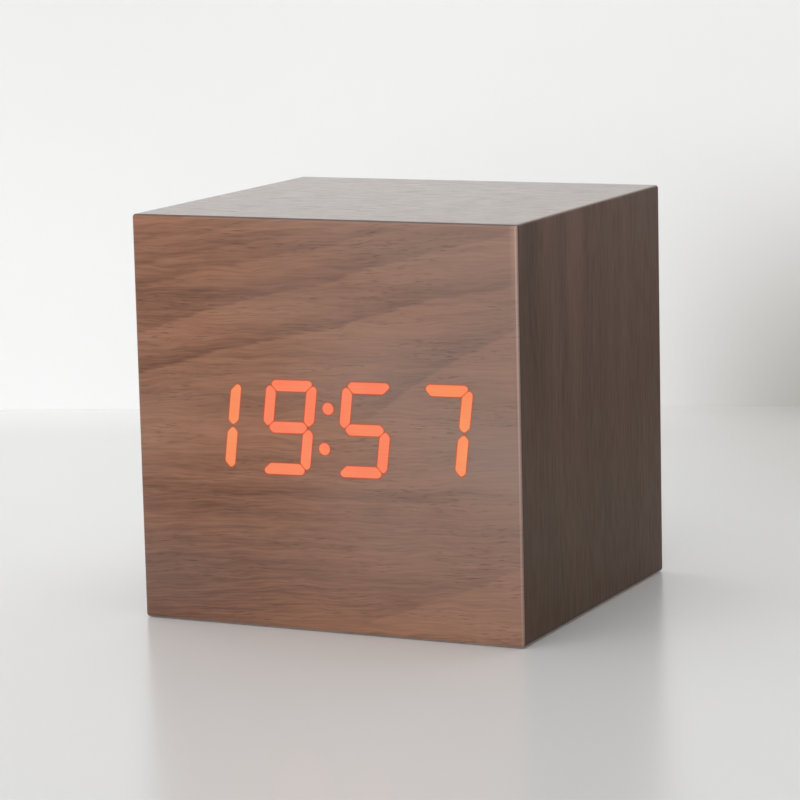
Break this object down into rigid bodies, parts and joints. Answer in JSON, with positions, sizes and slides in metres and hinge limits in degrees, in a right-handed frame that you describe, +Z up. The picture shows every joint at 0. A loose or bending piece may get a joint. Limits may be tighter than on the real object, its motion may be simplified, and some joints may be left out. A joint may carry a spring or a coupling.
{
  "type": "digital desk clock",
  "caption": "Veneered wooden cube desk clock: hidden LED digits behind the front veneer, recessed rear cover with battery door, push buttons and a power inlet.",
  "frame": {"origin": "middle of the underside, on the surface that the clock stands on", "axes": "+Z up; the display faces -Y; +X to the right of someone reading the display"},
  "size_m": [0.068, 0.0616, 0.067],
  "materials": {
    "veneer": "satin walnut veneer with fine open pores",
    "core_board": "sanded fibreboard",
    "block_wood": "sawn softwood",
    "cover_plastic": "fine spark-eroded moulded plastic",
    "button_plastic": "smooth moulded plastic",
    "mask_plastic": "moulded plastic",
    "film": "translucent film",
    "lens": "tinted potting, lit from behind",
    "led": "clear die attach",
    "circuit_board": "solder mask",
    "chip_plastic": "moulded epoxy",
    "switch_plastic": "moulded plastic",
    "plunger_plastic": "moulded plastic",
    "spacer_plastic": "turned plastic",
    "screw_steel": "blackened and plated steel",
    "plated_steel": "bright nickel plate",
    "socket_steel": "tin plate",
    "rubber": "moulded rubber",
    "capacitor_sleeve": "shrink sleeve",
    "cell_jacket": "printed shrink jacket, bare of print",
    "ribbon": "flat cable",
    "lead_red": "wire insulation",
    "lead_black": "wire insulation"
  },
  "bodies": {
    "case": {"front_veneer": "veneer", "top_veneer": "veneer", "bottom_veneer": "veneer", "left_veneer": "veneer", "right_veneer": "veneer", "rear_edging": "veneer", "front_board": "core_board", "top_board": "core_board", "bottom_board": "core_board", "left_board": "core_board", "right_board": "core_board", "corner_blocks": "block_wood", "diffuser_film": "film", "segment_mask": "mask_plastic", "segment_lenses": "lens", "colon_lenses": "lens", "led_chips": "led", "display_board": "circuit_board", "display_spacers": "spacer_plastic", "display_screws": "plated_steel", "driver_chip": "chip_plastic", "smoothing_capacitor": "capacitor_sleeve", "rear_cover": "cover_plastic", "cover_screws": "screw_steel", "switch_bodies": "switch_plastic", "control_board": "circuit_board", "board_screws": "plated_steel", "usb_shell": "socket_steel", "usb_tongue": "chip_plastic", "microphone": "plated_steel", "microphone_boot": "rubber", "sounder": "chip_plastic", "clock_chip": "chip_plastic", "quartz_crystal": "plated_steel", "ribbon_cable": "ribbon", "ribbon_plugs": "chip_plastic", "battery_cell_lower": "cell_jacket", "battery_cell_middle": "cell_jacket", "battery_cell_upper": "cell_jacket", "contact_plates": "plated_steel", "contact_springs": "plated_steel", "positive_lead": "lead_red", "negative_lead": "lead_black"},
    "set_button": {"set_button": "button_plastic", "set_plunger": "plunger_plastic"},
    "up_button": {"up_button": "button_plastic", "up_plunger": "plunger_plastic"},
    "down_button": {"down_button": "button_plastic", "down_plunger": "plunger_plastic"},
    "battery_door": {"battery_door": "cover_plastic"}
  },
  "joints": [
    {"name": "set_button_press", "type": "slide", "parent": "case", "child": "set_button", "axis": [0, -1, 0], "range_m": [0, 0.0004], "stiffness_N_per_m": 400},
    {"name": "up_button_press", "type": "slide", "parent": "case", "child": "up_button", "axis": [0, -1, 0], "range_m": [0, 0.0004], "stiffness_N_per_m": 400},
    {"name": "down_button_press", "type": "slide", "parent": "case", "child": "down_button", "axis": [0, -1, 0], "range_m": [0, 0.0004], "stiffness_N_per_m": 400},
    {"name": "battery_door_hinge", "type": "hinge", "parent": "case", "child": "battery_door", "pos_m": [0, 0.02855, 0.0481], "axis": [1, 0, 0], "range_deg": [0, 95]}
  ]
}
